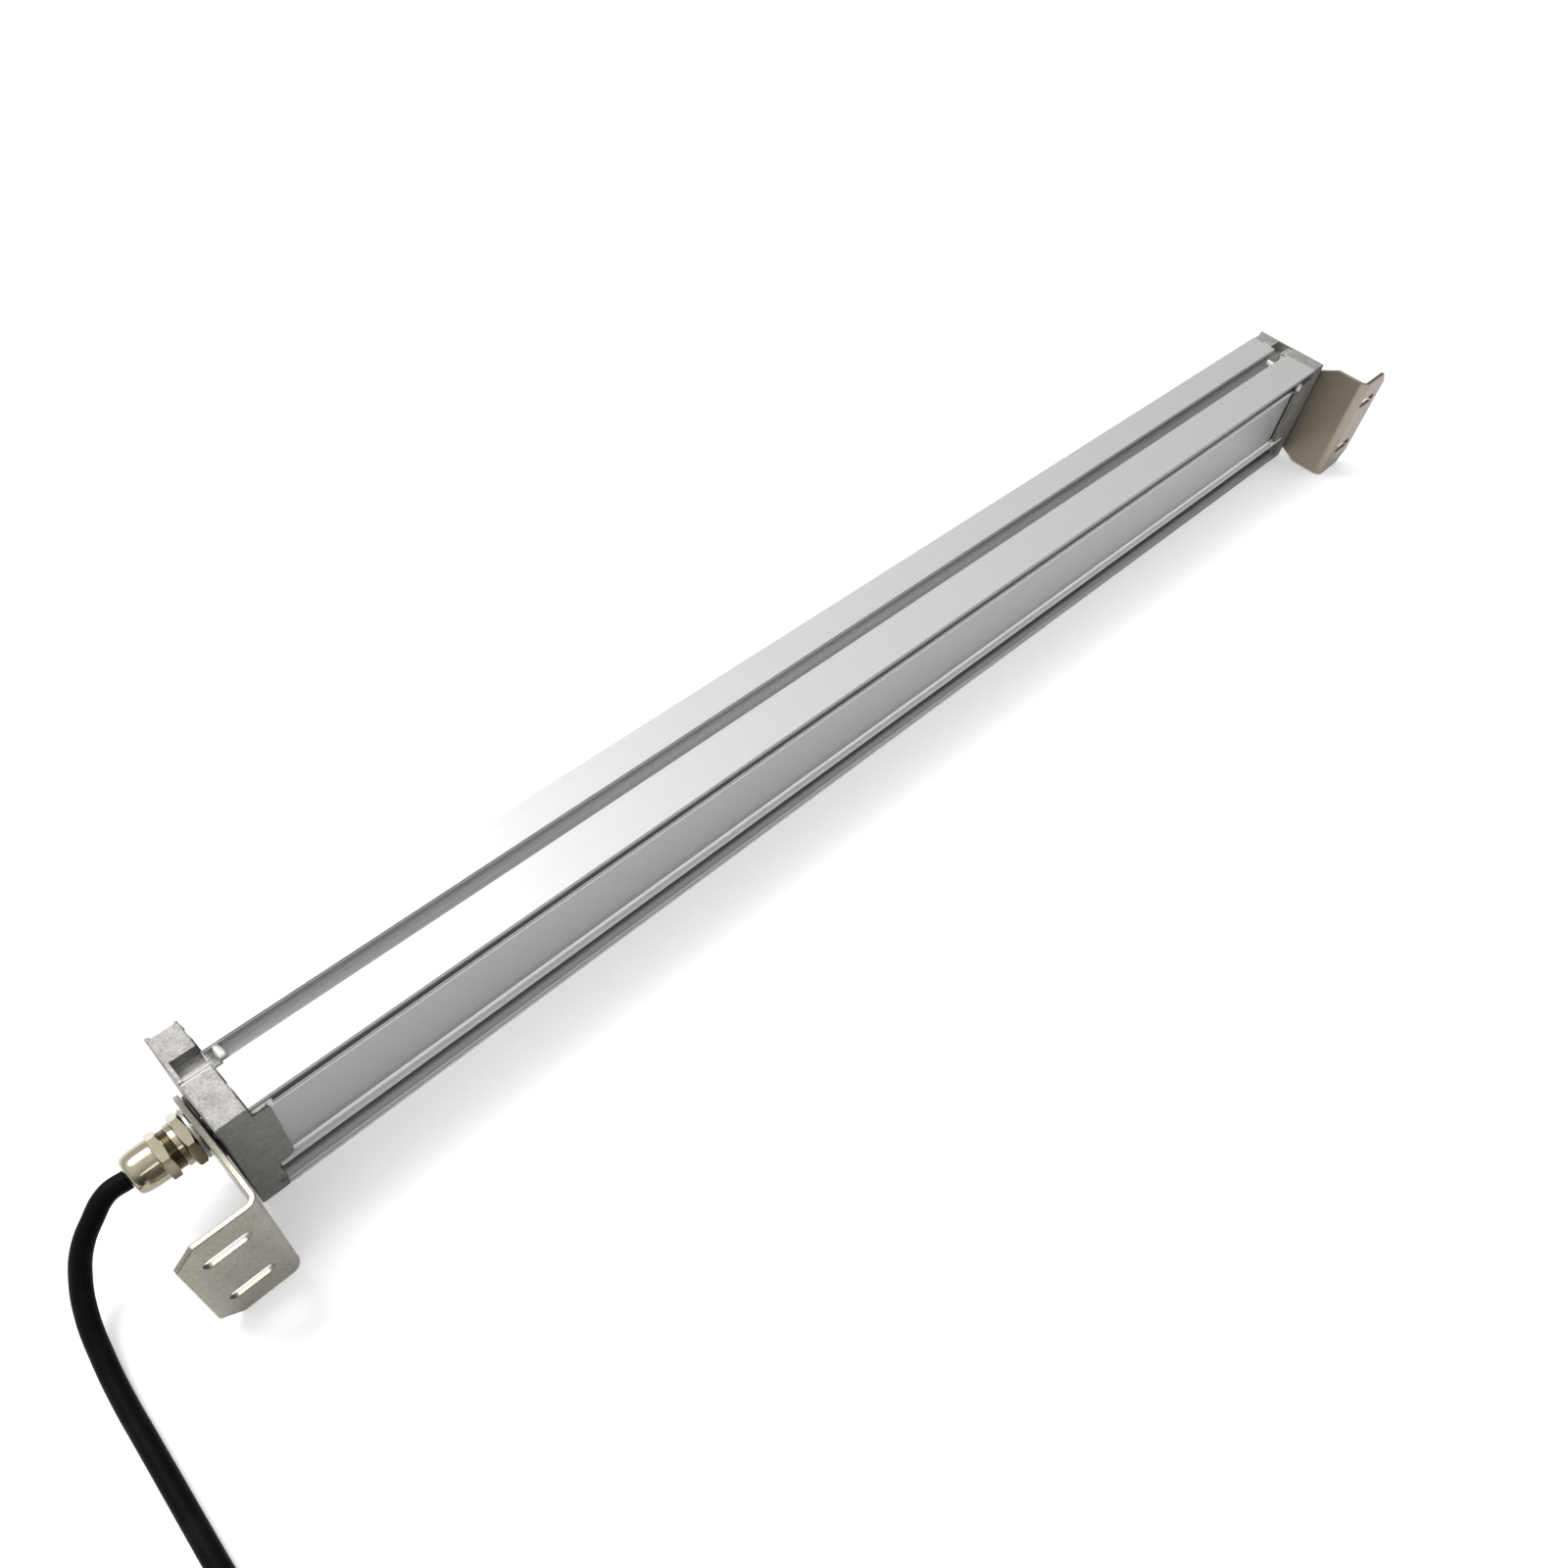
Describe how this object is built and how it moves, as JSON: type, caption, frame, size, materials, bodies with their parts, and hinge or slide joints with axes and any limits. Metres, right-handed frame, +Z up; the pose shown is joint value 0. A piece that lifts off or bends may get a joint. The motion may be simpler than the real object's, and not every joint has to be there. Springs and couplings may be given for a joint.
{
  "type": "machine work light",
  "caption": "Machine work light: a sealed LED lamp in an extruded aluminium housing with cast end caps, swivel brackets at its ends and a black cable with a plated gland.",
  "frame": {"origin": "middle of the housing's flat underside, halfway between the two end caps", "axes": "+X along the lamp, away from the cable; +Y towards the window; +Z up, towards the face with the T-slot"},
  "size_m": [0.9066, 0.2469, 0.062],
  "materials": {
    "anodised": "clear anodised extrusion, fine lines along it",
    "die_cast": "die cast, faintly mottled, satin",
    "stainless": "rolled plate, laser-cut edges",
    "nickel": "nickel plated, bright",
    "zinc_steel": "zinc plated",
    "bright_sheet": "bright rolled reflector sheet",
    "silicone": "pale translucent silicone",
    "black_rubber": "matte black",
    "black_sheath": "smooth black sheath, satin",
    "black_nylon": "black nylon",
    "led_board": "white solder mask",
    "circuit_board": "green solder mask",
    "grey_plastic": "grey moulded",
    "brown": "brown core insulation",
    "blue": "blue core insulation",
    "green_yellow": "green and yellow core insulation",
    "glass": "clear toughened glass"
  },
  "bodies": {
    "lamp": {"housing_extrusion": "anodised", "window_seal_lower": "silicone", "window_glass": "glass", "window_seal_upper": "silicone", "led_board_cable_end": "led_board", "led_board_blind_end": "led_board", "reflector_upper": "bright_sheet", "reflector_lower": "bright_sheet", "driver_board": "circuit_board", "terminal_block": "grey_plastic", "core_brown": "brown", "core_blue": "blue", "core_green_yellow": "green_yellow", "cable_end_cap": "die_cast", "blind_end_cap": "die_cast", "cable_end_gasket": "silicone", "blind_end_gasket": "silicone", "cap_screw_cable_end_1": "zinc_steel", "cap_screw_cable_end_2": "zinc_steel", "cap_screw_cable_end_3": "zinc_steel", "cap_screw_cable_end_4": "zinc_steel", "cap_screw_blind_end_1": "zinc_steel", "cap_screw_blind_end_2": "zinc_steel", "cap_screw_blind_end_3": "zinc_steel", "cap_screw_blind_end_4": "zinc_steel", "friction_washer_cable_end": "black_nylon", "friction_washer_blind_end": "black_nylon", "lock_washer_cable_end": "zinc_steel", "lock_washer_blind_end": "zinc_steel", "pivot_plug": "nickel", "gland_body": "nickel", "gland_nut": "nickel", "gland_seal": "black_rubber", "gland_claw": "black_nylon", "cable_entry": "black_sheath", "cable_lead": "black_sheath", "cable_coil": "black_sheath", "coil_tie_near": "black_nylon", "coil_tie_far": "black_nylon", "lead_core_brown": "brown", "lead_core_blue": "blue", "lead_core_green_yellow": "green_yellow"},
    "bracket_cable_end": {"bracket_cable_end": "stainless"},
    "bracket_blind_end": {"bracket_blind_end": "stainless"}
  },
  "joints": [
    {"name": "swivel_cable_end", "type": "hinge", "parent": "lamp", "child": "bracket_cable_end", "pos_m": [-0.35, 0, 0.031], "axis": [1, 0, 0], "continuous": true},
    {"name": "swivel_blind_end", "type": "hinge", "parent": "lamp", "child": "bracket_blind_end", "pos_m": [0.35, 0, 0.031], "axis": [1, 0, 0], "continuous": true}
  ]
}
